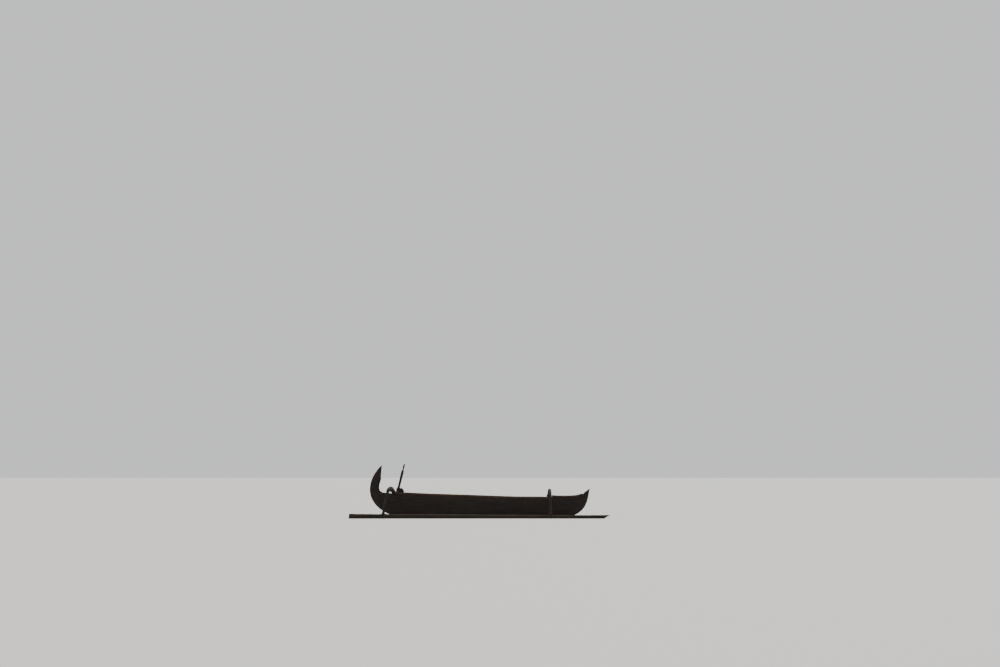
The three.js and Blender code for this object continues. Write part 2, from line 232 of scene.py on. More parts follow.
def carried_frame(line):
    """Two directions across a line at each of its points, with no sudden twist."""
    tangent = unit(np.gradient(line, axis=0))
    normal = np.zeros_like(line)
    n = np.cross(tangent[0], (0.31, 0.17, 0.93))
    for i, t in enumerate(tangent):
        n = n - t * (n @ t)
        n = n / np.linalg.norm(n)
        normal[i] = n
    return normal, np.cross(tangent, normal)


def rope(path, radius, sides=10, strands=3, lay=6.4):
    """A laid rope: a tube whose strands twist once in lay radii, closed and drawn in at both ends."""
    line, run = by_length(path, radius * 0.8)
    normal, side = carried_frame(line)
    turn = round_steps(sides)
    phase = strands * (turn[None] - 2 * np.pi * run[:, None] / (lay * radius)) / 2
    r = radius * (0.8 + 0.2 * np.abs(np.cos(phase)))
    ends = np.minimum(run, run[-1] - run)[:, None] / radius
    r = r * rounded(np.clip(ends, 0.02, 1))
    a, b = r * np.cos(turn), r * np.sin(turn)
    rings = line[:, None] + a[..., None] * normal[:, None] + b[..., None] * side[:, None]
    return skin(rings, np.stack([run[:, None] + 0 * r, a, b], -1))


def read_mesh(mesh):
    """The points of a mesh, their normals and the edges."""
    def read(items, key, width, kind):
        values = np.empty(len(items) * width, kind)
        items.foreach_get(key, values)
        return values.reshape(-1, width)
    return (read(mesh.vertices, "co", 3, float), read(mesh.vertex_normals, "vector", 3, float),
            read(mesh.edges, "vertices", 2, np.int64))


def store(mesh, name, values):
    """Keeps a number, or a vector, for each vertex as an attribute."""
    kind, key = ("FLOAT", "value") if values.ndim == 1 else ("FLOAT_VECTOR", "vector")
    mesh.attributes.new(name, kind, "POINT").data.foreach_set(key, values.astype(np.float32).ravel())


def edge_wear(mesh):
    """Stores how sharply each vertex stands proud, from 0 to 1."""
    co, no, ed = read_mesh(mesh)
    d, n = co[ed[:, 0]] - co[ed[:, 1]], no[ed[:, 0]] - no[ed[:, 1]]
    bend = (d * n).sum(1) / np.maximum((d * d).sum(1), 1e-8)
    total, count = np.zeros(len(co)), np.zeros(len(co))
    for k in (0, 1):
        np.add.at(total, ed[:, k], bend)
        np.add.at(count, ed[:, k], 1)
    value = np.clip((total / np.maximum(count, 1) - WEAR_FROM) / WEAR_SPAN, 0, 1)
    for _ in range(2):
        total = value.copy()
        np.add.at(total, ed[:, 0], value[ed[:, 1]])
        np.add.at(total, ed[:, 1], value[ed[:, 0]])
        value = total / (count + 1)
    store(mesh, "wear", value)


def facing_in(mesh):
    """Stores how far each vertex looks into the hull, from 0 to 1."""
    co, no, _ = read_mesh(mesh)
    store(mesh, "inner", np.clip(2.5 * (no[:, 2] - np.sign(co[:, 1]) * no[:, 1]), 0, 1))


def piece(name, parts, material, node=None, body="canoe", rough=(), calm=None, sharp=50):
    """A finished piece from closed parts. rough lists (function of points, depth) pairs that work its surface
    about its mean; calm(points) is 0 where the surface stays as it is, at a joint."""
    starts = np.cumsum([0] + [len(points) for points, _, _ in parts])
    points = np.vstack([points for points, _, _ in parts])
    quads = np.vstack([quads + start for (_, quads, _), start in zip(parts, starts)])
    mesh = bpy.data.meshes.new(name)
    mesh.from_pydata(points.tolist(), [], quads.tolist())
    obj = put(name, mesh)
    if rough:
        co, no, _ = read_mesh(mesh)
        share = calm(co) if calm else 1.0
        for field, depth in rough:
            value = field(co)
            co = co - no * ((value - value.mean()) * share * depth)[:, None]
        if node:
            co = np.clip(co, *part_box(node))
        mesh.vertices.foreach_set("co", co.astype(np.float32).ravel())
        mesh.update()
    store(mesh, "grain", np.vstack([grain for _, _, grain in parts]))
    edge_wear(mesh)
    if material in (hull_skin, washed):
        facing_in(mesh)
    mesh.shade_smooth()
    mesh.set_sharp_from_angle(angle=math.radians(sharp))
    mesh.materials.append(material)
    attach(obj, body)
    if node:
        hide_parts(node)


# Materials
class Graph:
    """A material's nodes, made with their inputs in one call each."""

    def __init__(self, name):
        self.material = bpy.data.materials.new(name)
        self.material.use_nodes = True
        self.tree = self.material.node_tree
        self.tree.nodes.clear()
        self.shader = self.add("BsdfPrincipled")
        out = self.add("OutputMaterial")
        self.tree.links.new(self.shader.outputs[0], out.inputs["Surface"])

    def add(self, kind, inputs=None, **settings):
        node = self.tree.nodes.new("ShaderNode" + kind)
        for key, value in settings.items():
            setattr(node, key, value)
        for key, value in (inputs or {}).items():
            self.join(value, node.inputs[key])
        return node

    def join(self, value, socket):
        if isinstance(value, bpy.types.Node):
            value = value.outputs[0]
        if isinstance(value, bpy.types.NodeSocket):
            self.tree.links.new(value, socket)
        else:
            socket.default_value = (*value, 1.0) if socket.type == "RGBA" else value

    def math(self, operation, a, b=0.0, clamp=False):
        return self.add("Math", {0: a, 1: b}, operation=operation, use_clamp=clamp)

    def times(self, a, b):
        return self.math("MULTIPLY", a, b)

    def rest(self, a):
        """What is left of 1."""
        return self.math("SUBTRACT", 1.0, a)

    def attribute(self, name, output="Fac"):
        return self.add("Attribute", attribute_name=name).outputs[output]

    def scaled(self, coords, scale):
        return self.add("Mapping", {"Vector": coords, "Scale": scale})

    def noise(self, coords, scale, detail=3.0, rough=0.55):
        inputs = {"Vector": self.scaled(coords, scale), "Scale": 1.0, "Detail": detail, "Roughness": rough}
        return self.add("TexNoise", inputs).outputs["Fac"]

    def ramp(self, value, low, high):
        inputs = {"Value": value, "From Min": low, "From Max": high}
        return self.add("MapRange", inputs, interpolation_type="SMOOTHSTEP")

    def mix(self, share, a, b):
        node = self.add("Mix", {0: share}, data_type="RGBA")
        self.join(a, node.inputs[6])
        self.join(b, node.inputs[7])
        return node.outputs[2]

    def stain(self, tone, colour, where, strength):
        """The tone with a colour laid over it where the mask says."""
        return self.mix(self.times(where, strength), tone, colour)

    def bump(self, height, depth, strength, normal=None):
        inputs = {"Height": height, "Distance": depth, "Strength": strength}
        if normal is not None:
            inputs["Normal"] = normal
        return self.add("Bump", inputs)

    def finish(self, tone, roughness, shine, normal):
        """Joins the looks to the shader and gives the material."""
        self.join(tone, self.shader.inputs["Base Color"])
        self.join(roughness, self.shader.inputs["Roughness"])
        self.join(normal, self.shader.inputs["Normal"])
        self.shader.inputs["Specular IOR Level"].default_value = shine
        return self.material


def darker(colour, share):
    return tuple(share * c for c in colour)


IN_CRACKS = (0.006, 0.004, 0.003)
DUST = (0.16, 0.13, 0.095)
SCUM = (0.018, 0.019, 0.01)
WET_EDGE = 0.012  # The foot is wet up to the waterline, give or take this.
SCUM_TOP = 0.055
LAPPING = 0.05


def wood(name, dark, light, worn, rough, fibre, cracks, dust, facets=0.0, shine=0.3, own_grain=True,
         inside=None, afloat=True):
    """Wood with fibres along the first grain axis, drying cracks, hewn facets, rubbed edges, dust and a wet
    foot. inside is the dark and the light tone of the faces that look into the hull, which stay dry, as does
    what isn't afloat."""
    g = Graph(name)
    place = g.add("TexCoord").outputs["Object"]
    along = g.attribute("grain", "Vector") if own_grain else place

    streak = g.noise(along, (1.3, fibre, fibre), 5.0, 0.62)
    thread = g.noise(along, (9.0, fibre * 9, fibre * 9))
    blotch = g.noise(place, (2.1, 3.2, 3.2), 4.0)
    patch = g.noise(place, (5.5, 8.0, 8.0), 5.0, 0.65)

    banded = g.ramp(streak, 0.32, 0.68)
    tone = g.mix(banded, dark, light)
    if inside:
        inner = g.attribute("inner")
        tone = g.mix(inner, tone, g.mix(banded, *inside))
    tone = g.stain(tone, darker(dark, 0.55), g.ramp(thread, 0.45, 0.72), 0.45)
    tone = g.stain(tone, darker(dark, 0.6), g.ramp(blotch, 0.42, 0.7), 0.5)

    line = g.math("ABSOLUTE", g.math("SUBTRACT", g.noise(along, (0.8, fibre * 0.9, fibre * 0.9), 1.0), 0.5))
    cracked = g.ramp(g.noise(along, (2.0, 9.0, 9.0), 2.0), 0.62 - 0.25 * cracks, 0.66)
    crack = g.times(g.rest(g.ramp(line, 0.0, 0.012)), cracked)
    tone = g.stain(tone, IN_CRACKS, crack, 0.85)

    rubbed = g.math("MULTIPLY", g.attribute("wear"), g.ramp(patch, 0.3, 0.62), clamp=True)
    tone = g.stain(tone, worn, rubbed, 0.9)

    up = g.add("SeparateXYZ", {"Vector": g.add("NewGeometry").outputs["Normal"]}).outputs["Z"]
    settled = g.times(g.ramp(up, 0.25, 0.95), g.ramp(patch, 0.4, 0.75))
    tone = g.stain(tone, DUST, settled, dust)

    height = g.add("SeparateXYZ", {"Vector": place}).outputs["Z"]
    lapped = g.math("ADD", height, g.times(g.noise(place, (7.0, 7.0, 25.0)), -LAPPING))
    outside = g.rest(inner) if inside else float(afloat)
    wet = g.times(g.rest(g.ramp(lapped, -WET_EDGE, WET_EDGE)), outside)
    scum = g.times(g.times(g.rest(g.ramp(lapped, 0.0, SCUM_TOP)), g.ramp(patch, 0.35, 0.6)), outside)
    tone = g.stain(tone, SCUM, scum, 0.55)
    tone = g.stain(tone, darker(dark, 0.4), wet, 0.6)

    roughness = g.math("ADD", rough, g.times(g.math("SUBTRACT", streak, 0.5), 0.35))
    roughness = g.math("SUBTRACT", roughness, g.times(rubbed, 0.18))
    roughness = g.math("SUBTRACT", roughness, g.times(wet, 0.35), clamp=True)

    normal = g.bump(thread, 0.0009, 0.8)
    normal = g.bump(streak, 0.0025, 0.7, normal)
    normal = g.bump(g.rest(crack), 0.004, 0.9, normal)
    if facets:
        hewing = g.scaled(place, (13.0, 21.0, 21.0))
        facet = g.add("TexVoronoi", {"Vector": hewing, "Scale": 1.0}, feature="F1")
        normal = g.bump(g.math("POWER", facet.outputs["Distance"], 2.0), facets, 0.9, normal)
    return g.finish(tone, roughness, shine, normal)


def fibre_cord(name, dark, light):
    """Coir cord: short stray fibres across a twisted lay, whose strands are in the mesh."""
    g = Graph(name)
    hair = g.noise(g.attribute("grain", "Vector"), (160.0, 700.0, 700.0), 4.0, 0.7)
    stain = g.noise(g.add("TexCoord").outputs["Object"], (14.0, 14.0, 14.0), 4.0)
    tone = g.mix(g.ramp(hair, 0.3, 0.7), dark, light)
    tone = g.stain(tone, darker(dark, 0.45), g.ramp(stain, 0.42, 0.68), 0.6)
    return g.finish(tone, 0.92, 0.2, g.bump(hair, 0.0012, 0.9))


HULL_INSIDE = ((0.024, 0.013, 0.0075), (0.068, 0.038, 0.021))
TAR = dict(dark=(0.0045, 0.0028, 0.002), light=(0.015, 0.0088, 0.0058), worn=(0.042, 0.026, 0.016),
           rough=0.62, fibre=22, cracks=0.45, dust=0.06, facets=0.0022, shine=0.22)
tarred = wood("tarred_wood", **TAR)
hull_skin = wood("hull_wood", **TAR, inside=HULL_INSIDE)
washed = wood("strake_wood", (0.006, 0.0034, 0.0024), (0.02, 0.0106, 0.0068), (0.052, 0.03, 0.018),
              rough=0.62, fibre=30, cracks=0.4, dust=0.06, facets=0.0007, shine=0.24, inside=HULL_INSIDE)
# Rails and foredeck: part of their reddish-brown tone, lighter than the hull, and of their light rubbed edges
# is the wood's own colour and wear. The rest is a painted highlight for the glint along the gunwale.
painted_glint_rail = wood("rail_wood", (0.014, 0.0066, 0.0036), (0.043, 0.0195, 0.0095), (0.105, 0.058, 0.031),
              rough=0.58, fibre=34, cracks=0.4, dust=0.07, shine=0.25)
bare = wood("bare_wood", (0.026, 0.014, 0.008), (0.078, 0.043, 0.023), (0.16, 0.1, 0.057),
            rough=0.72, fibre=30, cracks=0.5, dust=0.14, afloat=False)
limb = wood("boom_wood", (0.0045, 0.0026, 0.0018), (0.017, 0.009, 0.0055), (0.048, 0.029, 0.018),
            rough=0.68, fibre=42, cracks=0.55, dust=0.03, facets=0.0006, shine=0.18)
limb_plain = wood("boom_wood_plain", (0.0055, 0.0031, 0.0021), (0.021, 0.0112, 0.0066), (0.055, 0.033, 0.02),
                  rough=0.68, fibre=34, cracks=0.5, dust=0.03, shine=0.18, own_grain=False)
hewn = wood("float_wood", (0.007, 0.0044, 0.0026), (0.025, 0.0155, 0.0084), (0.062, 0.042, 0.024),
            rough=0.74, fibre=24, cracks=0.8, dust=0.04, facets=0.0016, shine=0.18)
carved = wood("oar_wood", (0.007, 0.0036, 0.0022), (0.026, 0.0128, 0.0068), (0.07, 0.041, 0.023),
              rough=0.62, fibre=46, cracks=0.35, dust=0.03, shine=0.2)
cord = fibre_cord("cord", (0.017, 0.011, 0.0065), (0.07, 0.047, 0.026))
tarred_cord = fibre_cord("tarred_cord", (0.005, 0.0034, 0.0024), (0.019, 0.012, 0.0075))

# Hull form, from the same numbers as the CAD
STEM_HALF = 0.016
MID_X = -0.06
FULLNESS = 2.6
KEEL_Z = -0.15
HOLLOW_Z = -0.105
HOLLOW_END_HALF = 0.018
END_WALL_RUN, END_WALL_RISE = 0.25, 0.395
BLOCK_AFT, BLOCK_FORE = -2.35, 2.3
RAIL_DEEP = 0.05
RAIL_END = 1.965
DECK_END = 2.7
DECK_FOOT_Z = 0.531
FIT = 0.0003
EDGE_EASE = 0.004
CALM_REACH = 0.025

SKIN_HALF = smooth_line(mm([
    (-150, 48), (-146, 82), (-138, 112), (-122, 146), (-95, 180), (-55, 210), (0, 234), (75, 255), (160, 270),
    (270, 281), (400, 288), (560, 291), (760, 288)]))
WALL = smooth_line(mm([
    (-105, 72), (-98, 54), (-80, 40), (-50, 35), (0, 33), (75, 32), (160, 31), (290, 30), (400, 29),
    (560, 28), (760, 28)]))
HEEL = mm([(-1156, -150), (-2320, -150), (-3017, 181), (-3006, 760)])
FOREFOOT = mm([(780, -150), (2944, -150), (2874, 163), (2996, 760)])
SHEER = mm([(-2350, 634), (-2063, 656), (-1844, 644), (-1407, 625), (-751, 602), (-314, 589), (350, 565),
            (997, 543), (1639, 540), (1965, 533)])
SEAM = mm([(-3100, 500), (-2000, 458), (0, 414), (1500, 392), (2300, 402), (3100, 440)])
STERN_TOP = mm([(-3100, 645), (-2560, 645), (-2434, 632), (-2350, 634)])
DECK_FOOT = mm([(1965, 531), (2300, 531), (2700, 545)])
DECK_TOP = mm([(1965, 582), (2090, 573), (2254, 570), (2418, 570), (2582, 580), (2700, 598)])
NOSE_TOP = mm([(2700, 598), (2759, 624), (2814, 614), (2866, 669), (2990, 759), (3100, 759)])

end_steps = np.linspace(0, 1, 800)
heel_line, fore_line = bezier(HEEL, end_steps), bezier(FOREFOOT, end_steps)
sheer_at, seam_at = smooth_line(SHEER), smooth_line(SEAM)
stern_top, nose_top = smooth_line(STERN_TOP), smooth_line(NOSE_TOP)
deck_foot, deck_top = smooth_line(DECK_FOOT), smooth_line(DECK_TOP)


def away_from(*lines):
    """0 on the joint lines (height as a function of X), rising to 1 a little above and below them."""
    def share(p, line):
        return eased(np.clip(np.abs(p[:, 2] - line(p[:, 0])) / CALM_REACH, 0, 1))

    return lambda p: math.prod(share(p, line) for line in lines)


def aft_end(z):
    return np.interp(z, heel_line[:, 1], heel_line[:, 0])


def fore_end(z):
    return np.interp(z, fore_line[:, 1], fore_line[:, 0])


def breadth(x, z):
    """Half breadth of the hull's outer skin."""
    s = np.abs((x - MID_X) / (np.where(x < MID_X, aft_end(z), fore_end(z)) - MID_X))
    return STEM_HALF + (SKIN_HALF(z) - STEM_HALF) * (1 - np.minimum(s, 1) ** FULLNESS)


def inner_share(z):
    """How far from the hull's middle to its end the hollow reaches at a height, by the wall's thickness."""
    share = np.clip((HOLLOW_END_HALF + WALL(z) - STEM_HALF) / (SKIN_HALF(z) - STEM_HALF), 0, 1)
    return (1 - share) ** (1 / FULLNESS)


def end_wall(z):
    """How far the hollow's sloping end walls stand in at a height."""
    return END_WALL_RUN * (1 - np.clip((z - HOLLOW_Z) / END_WALL_RISE, 0, 1))


def hollow_aft(z):
    return np.maximum(BLOCK_AFT + end_wall(z), MID_X + (aft_end(z) - MID_X) * inner_share(z))


def hollow_fore(z):
    return np.minimum(BLOCK_FORE - end_wall(z), MID_X + (fore_end(z) - MID_X) * inner_share(z))


def mirror_ring(x, y, z):
    """Rings of levels: the port side from aft to fore, then the starboard side back."""
    port = np.stack([x, y, z], -1)
    starboard = np.stack([x, -y, z], -1)[:, ::-1]
    return np.concatenate([port, starboard], 1)


def level_grid(v, count, columns, low, top):
    """X and Z of a grid with heights from the line low at v 0 up to the line top at v 1; columns gives the
    count values of X at those heights, from aft to fore."""
    z = np.full((len(v), count), 0.5)
    for _ in range(9):
        x = columns(z)
        z = low(x) + v[:, None] * (top(x) - low(x))
    return x, z


def ease_off(v, start):
    """How far a face draws back to its rounded edge at v 1, from v start on."""
    return EDGE_EASE * np.clip((v - start) / (1 - start), 0, 1) ** 2


def hewing(size, seed):
    return lambda p: scallops(p, size, seed)


def unevenness(size, seed):
    return lambda p: 0.5 + 0.5 * noise(p, size, seed)


tool_marks = hewing((0.085, 0.05, 0.05), 5)
small_marks = hewing((0.05, 0.03, 0.03), 15)
swell = unevenness((0.5, 0.18, 0.18), 9)
chafe = unevenness((0.06, 0.03, 0.03), 21)

# The log: its outer skin up to the seam, then down the inside.
LOG_EASE_FROM = 0.985
log_share = np.linspace(0, 1, 290)
log_share = log_share - 0.35 * np.sin(2 * np.pi * log_share) / (2 * np.pi)


def log_face(steps, bottom, aft, fore):
    """X, Z and easing of one face of the log, from its bottom up to the seam, lengthwise between two ends."""
    v = np.concatenate(steps)
    x, z = level_grid(v, len(log_share), lambda z: aft(z) + (fore(z) - aft(z)) * log_share,
                      lambda x: bottom + 0 * x, seam_at)
    return x, z, ease_off(v[:, None], LOG_EASE_FROM)


x, z, ease = log_face([[0, 0.003, 0.008, 0.016, 0.028], np.linspace(0.045, LOG_EASE_FROM, 38), [0.994, 1.0]],
                      KEEL_Z, aft_end, fore_end)
outside = mirror_ring(x, breadth(x, z) - ease, z)
x, z, ease = log_face([[0, 0.006, 0.014, 0.026, 0.042], np.linspace(0.065, LOG_EASE_FROM, 34), [0.994, 1.0]],
                      HOLLOW_Z, hollow_aft, hollow_fore)
inside = mirror_ring(x, breadth(x, z) - WALL(z) + ease, z)[::-1]
piece("hull_log_wood", [skin(np.concatenate([outside, inside]), cap="strip")], hull_skin,
      "hull_log", rough=[(tool_marks, 0.0026), (swell, 0.002)], calm=away_from(seam_at))

# Washstrakes, rails and end timbers
STRAKE_INSET = 0.008
STRAKE_THICK, STRAKE_DEEP = 0.0205, 0.15
STEP_AT = 1.9652  # The strakes' tops step up here, from under the rails to under the deck.
STEP_HALF = 0.0004
RAIL_WIDE = 0.052
RAIL_OUT = 0.01
SIDES = (("port", 1), ("starboard", -1))


def rail_foot(x):
    return sheer_at(x) - RAIL_DEEP


def strake_top(x):
    return np.where(x < STEP_AT, rail_foot(np.minimum(x, RAIL_END)), DECK_FOOT_Z) - FIT


strake_xs = np.concatenate([np.linspace(BLOCK_AFT + FIT, STEP_AT - STEP_HALF, 430),
                            np.linspace(STEP_AT + STEP_HALF, BLOCK_FORE - FIT, 36)])
rail_xs = np.linspace(BLOCK_AFT + FIT, RAIL_END - FIT, 430)
for side, sign in SIDES:
    section = box_section(STRAKE_THICK, STRAKE_DEEP, 0.004, 0.009)
    x = np.repeat(strake_xs[:, None], len(section), 1)
    low, high = seam_at(x) + FIT, strake_top(x)
    z = low + (high - low) * (section[None, :, 1] / STRAKE_DEEP + 0.5)
    outer_y, inner_y = breadth(x, z) - STRAKE_INSET, breadth(x, z) - WALL(z)
    y = inner_y + (outer_y - inner_y) * (section[None, :, 0] / STRAKE_THICK + 0.5)
    piece(f"strake_{side}_plank", [skin(np.stack([x, sign * y, z], -1))], washed,
          f"strake_{side}", rough=[(swell, 0.0012), (chafe, 0.0006)], calm=away_from(seam_at, strake_top))

    section = box_section(RAIL_WIDE, RAIL_DEEP, 0.009, 0.008)
    x = np.repeat(rail_xs[:, None], len(section), 1)
    z = sheer_at(x) - RAIL_DEEP / 2 + section[None, :, 1]
    y = breadth(x, z) + RAIL_OUT - RAIL_WIDE / 2 + section[None, :, 0]
    piece(f"rail_{side}_wood", [skin(np.stack([x, sign * y, z], -1))], painted_glint_rail, f"rail_{side}",
          rough=[(chafe, 0.0014), (swell, 0.0014)], calm=away_from(rail_foot))


def end_timber(count, columns, top):
    """A solid timber on the log's end, from the seam up to the line top."""
    v = np.concatenate([[0], np.linspace(0.03, 0.965, 22), [0.98, 0.992, 1.0]])
    x, z = level_grid(v, count, columns, lambda x: seam_at(x) + FIT, top)
    return skin(mirror_ring(x, breadth(x, z) - ease_off(v[:, None], 0.965), z), cap="strip")


aft_share = np.linspace(0, 1, 120)
stern_timber = end_timber(len(aft_share), lambda z: aft_end(z) + (BLOCK_AFT - aft_end(z)) * aft_share,
                          stern_top)
piece("stern_block_wood", [stern_timber], tarred, "stern_block",
      rough=[(tool_marks, 0.0026), (swell, 0.0015)], calm=away_from(seam_at, stern_top))

under_deck = np.linspace(BLOCK_FORE, DECK_END - 0.0002, 60)
nose_share = np.linspace(0, 1, 80)


def bow_columns(z):
    under = np.repeat(under_deck[None], len(z), 0)
    nose_z = z[:, len(under_deck):]
    nose_start = DECK_END + 2 * FIT
    return np.concatenate([under, nose_start + (fore_end(nose_z) - nose_start) * nose_share], 1)


def bow_top(x):
    return np.where(x < DECK_END + 0.0001, deck_foot(x), nose_top(x))


bow_timber = end_timber(len(under_deck) + len(nose_share), bow_columns, bow_top)
piece("bow_block_wood", [bow_timber], tarred, "bow_block",
      rough=[(tool_marks, 0.0022), (swell, 0.0012)], calm=away_from(seam_at, deck_foot))

# Foredeck: three planks side by side, their seams shown as grooves.
DECK_OUT = 0.006
DECK_COUNT = 81
PLANK_HALF = 0.062
GROOVE_WIDE, GROOVE_DEEP = 0.0028, 0.004
across = np.concatenate([np.linspace(-1, 1, DECK_COUNT), np.linspace(1, -1, 25)])
on_top = (np.arange(len(across)) < DECK_COUNT)[None]
x = np.repeat(np.linspace(RAIL_END, DECK_END, 150)[:, None], len(across), 1)
z = np.where(on_top, deck_top(x), deck_foot(x) + FIT)
y = (breadth(x, z) + DECK_OUT) * across[None]
grooves = GROOVE_DEEP * np.exp(-((np.abs(y) - PLANK_HALF) / GROOVE_WIDE) ** 2)
z = z - np.where(on_top, grooves + ease_off(np.abs(across)[None], 0.93), 0)
piece("bow_deck_planks", [skin(np.stack([x, y, z], -1))], painted_glint_rail, "bow_deck",
      rough=[(chafe, 0.0012)], calm=away_from(deck_foot))

# Crescent
HORN_FOOT = 0.6453
HORN_HALF = 0.034
HORN_NIP = 0.012
HORN_RINGS = 190
steps = np.linspace(0, 1, 400)
horn_back = np.vstack([[[-3.004, HORN_FOOT]],
                       bezier([(-3.006, 0.74), (-3.006, 0.946), (-2.925, 1.164), (-2.69, 1.398)], steps)])
horn_front = np.vstack([
    bezier([(-2.56, HORN_FOOT), (-2.915, 0.646), (-2.658, 1.022), (-2.706, 1.055)], steps),
    bezier([(-2.706, 1.055), (-2.706, 1.158), (-2.687, 1.325), (-2.683, 1.39)], steps)[1:]])
back, front = [by_length(line, 0.001)[0] for line in (horn_back, horn_front)]
back, front = [line[np.linspace(0, len(line) - 1, HORN_RINGS).astype(int)] for line in (back, front)]
chord = np.linalg.norm(front - back, axis=1)[:, None]
share = (1 - np.cos(np.linspace(0, np.pi, 31))) / 2
thick = np.minimum(HORN_HALF, 0.003 + 0.14 * chord) * np.interp(share, [0, 0.35, 0.7, 1], [0.45, 1, 1, 0.45])
nip = np.minimum(share, 1 - share)[None] * chord / np.minimum(HORN_NIP, 0.4 * chord)
thick = thick * rounded(np.clip(nip, 0, 1))
flat = back[:, None] + (front - back)[:, None] * share[None, :, None]
port = np.stack([flat[..., 0], thick, flat[..., 1]], -1)
starboard = (port * (1, -1, 1))[:, ::-1]
rings = np.concatenate([port, starboard[:, 1:-1]], 1)
up_horn = distance((back + front) / 2)[:, None]
grain = np.stack([np.repeat(up_horn, rings.shape[1], 1), rings[..., 1],
                  np.concatenate([share, share[::-1][1:-1]])[None] * chord], -1)
piece("stern_crescent_wood", [skin(rings, grain, cap="strip")], tarred, "stern_crescent",
      rough=[(small_marks, 0.0018), (chafe, 0.0006)], calm=away_from(lambda x: HORN_FOOT + 0 * x))

# Float
FLOAT_Y = -1.8
# Stations: X, radius and the height of the middle.
FLOAT = mm([(-3369, 96, 30), (-3200, 91, 27), (-2486, 89, 25), (-800, 83, 22), (900, 76, 18), (1875, 73, 17),
            (2700, 69, 20), (3394, 62, 31)])
FLOAT_SIDES = 64
BUTT_X = FLOAT[0, 0]
BUTT_EDGE = 0.014
CUT_FROM = 3.1
NOSE_CUT = smooth_line(mm([(3130, -70), (3241, 0), (3392, 92), (3514, 160)]))
float_r, float_z = smooth_line(FLOAT[:, :2]), smooth_line(FLOAT[:, [0, 2]])
butt_xs = BUTT_X + BUTT_EDGE * (1 - np.cos(np.linspace(0, np.pi / 2, 7)))
float_xs = np.concatenate([butt_xs, np.linspace(-3.345, CUT_FROM, 560), np.linspace(3.108, 3.3935, 60)])
turn = round_steps(FLOAT_SIDES)
x = np.repeat(float_xs[:, None], FLOAT_SIDES, 1)
radius = float_r(x) - BUTT_EDGE * (1 - rounded(np.clip((x - BUTT_X + 0.0008) / BUTT_EDGE, 0, 1)))
y = FLOAT_Y + radius * np.sin(turn)[None]
z = float_z(x) + radius * np.cos(turn)[None]
z = np.maximum(z, np.where(x > CUT_FROM, NOSE_CUT(x), -1))


def long_cracks(p):
    line = np.abs(noise(p, (0.9, 0.05, 0.05), 31))
    return np.clip(1 - line / 0.05, 0, 1) * np.clip(noise(p, (0.35, 0.2, 0.2), 33) * 3 - 0.6, 0, 1)


piece("float_log", [skin(np.stack([x, y, z], -1))], hewn, "float",
      rough=[(tool_marks, 0.003), (swell, 0.003), (long_cracks, 0.004)])

# Booms

# Each boom: its x at the centreline, its rake dX/dY and stations y, z, half width, half depth.
BOOMS = {
    "rear": (-2.254, 0.129, mm([
        (185, 658, 31, 31), (30, 648, 32, 32), (-140, 645, 33, 34), (-280, 638, 36, 50),
        (-400, 648, 39, 66), (-520, 678, 41, 72), (-640, 714, 42, 73), (-760, 742, 43, 73),
        (-900, 752, 43, 71), (-1050, 747, 42, 61), (-1180, 730, 40, 52), (-1280, 668, 38, 44),
        (-1450, 500, 35, 36), (-1640, 327, 31, 31), (-1760, 180, 28, 28), (-1800, 95, 28, 28)])),
    "front": (1.866, 0.0, mm([
        (330, 566, 32, 32), (120, 564, 34, 34), (-120, 564, 35, 35), (-290, 574, 38, 41),
        (-450, 612, 41, 47), (-620, 668, 44, 51), (-790, 703, 45, 53), (-960, 710, 45, 54),
        (-1120, 695, 43, 51), (-1260, 652, 38, 42), (-1400, 568, 35, 36), (-1530, 440, 32, 32),
        (-1660, 285, 30, 30), (-1765, 160, 29, 29), (-1800, 75, 29, 29)])),
}
BOOM_SIDES = 36
BOOM_SQUARE = 0.86


def boom_line(x0, rake, stations):
    """Centre line, half width and half depth of a boom, evenly spaced, and the directions across it."""
    y, z, r, deep = spline(stations, 500).T
    line, run = by_length(np.stack([x0 + rake * y, y, z, r, deep], -1), 0.009)
    across = np.repeat([np.array([1, -rake, 0]) / math.hypot(1, rake)], len(line), 0)
    up = unit(np.cross(across, np.gradient(line[:, :3], axis=0)))
    return line[:, :3], line[:, 3], line[:, 4], run, across, up


def knots(centres):
    return lambda p: -sum(np.exp(-((p - c) ** 2).sum(-1) / (2 * size ** 2)) for c, size in centres)


def squared(wave, power):
    """Squares off an ellipse's cosine or sine, the more the smaller the power is."""
    return np.sign(wave) * np.abs(wave) ** power


for name, boom in BOOMS.items():
    line, radius, deep, run, across, up = boom_line(*boom)
    turn = round_steps(BOOM_SIDES)
    end = np.clip(np.minimum(run, run[-1] - run)[:, None] / 0.012, 0.03, 1)
    grow = (0.62 + 0.38 * rounded(end)) * (1 + 0.02 * np.cos(3 * turn[None] + 4 * run[:, None]))
    a = radius[:, None] * grow * squared(np.cos(turn), BOOM_SQUARE)
    b = deep[:, None] * grow * squared(np.sin(turn), BOOM_SQUARE)
    rings = line[:, None] + a[..., None] * across[:, None] + b[..., None] * up[:, None]
    rng = np.random.default_rng(len(name))
    spots = []
    for k in rng.uniform(0.2, 0.92, 5):
        i = int(k * len(line))
        t = rng.uniform(0, 2 * np.pi)
        middle = line[i] + radius[i] * math.cos(t) * across[i] + deep[i] * math.sin(t) * up[i]
        spots.append((middle, rng.uniform(0.012, 0.018)))
    piece(f"boom_{name}_limb", [skin(rings, np.stack([run[:, None] + 0 * a, a, b], -1))], limb,
          f"boom_{name}", rough=[(swell, 0.003), (small_marks, 0.0016), (knots(spots), 0.0045)])

# Thwarts, frames and tie beams
SEATS = (-1.45, -0.56, 0.33, 1.18)
SEAT_WIDE = 0.15
SEAT_DROP = 0.078
SEAT_THICK = 0.024
FRAME_WIDE = 0.03
FRAME_DEEP = 0.038
TIE_DEEP = 0.052
TIE_HALF = 0.034
BOARD_EDGE = 0.0045
FRAME_EDGE = 0.004


